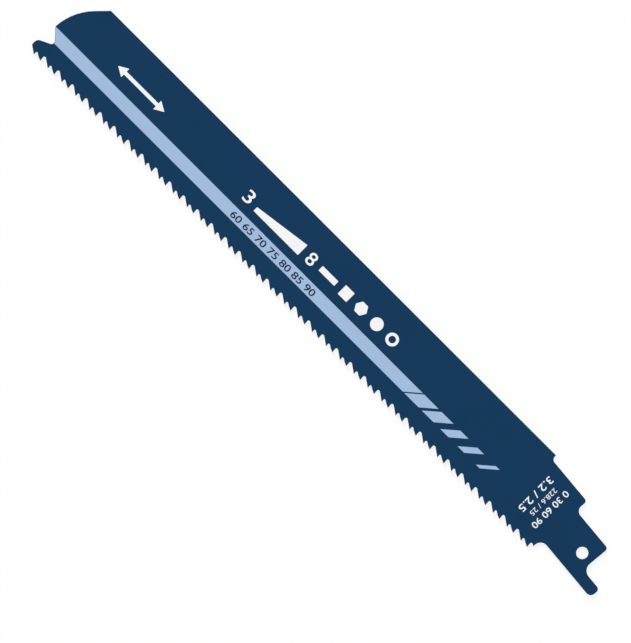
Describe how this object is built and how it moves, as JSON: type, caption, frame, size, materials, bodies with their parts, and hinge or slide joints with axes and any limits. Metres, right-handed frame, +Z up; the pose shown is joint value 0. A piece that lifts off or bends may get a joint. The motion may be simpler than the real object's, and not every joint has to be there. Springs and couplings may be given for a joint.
{
  "type": "reciprocating saw blade",
  "caption": "Straight blade for a reciprocating saw: alternating coarse and fine set teeth, a hooked plunge notch at the nose, and a stepped tang with a hole and a tail for the clamp.",
  "frame": {"origin": "centre of the hole in the tang, halfway through the sheet", "axes": "+X from the tang to the nose, parallel to the back edge; +Y from the back edge to the teeth; +Z up, square to the printed side"},
  "size_m": [0.2286, 0.0248, 0.0016],
  "materials": {
    "blade_paint": "satin dark blue paint over the whole blade, teeth included",
    "stripe_ink": "satin light blue ink printed on the paint",
    "white_ink": "satin white ink printed on the paint, for the numbers and the marks by the stripe"
  },
  "bodies": {
    "root": {"blade": "blade_paint", "printed_stripe": "stripe_ink"}
  },
  "joints": []
}
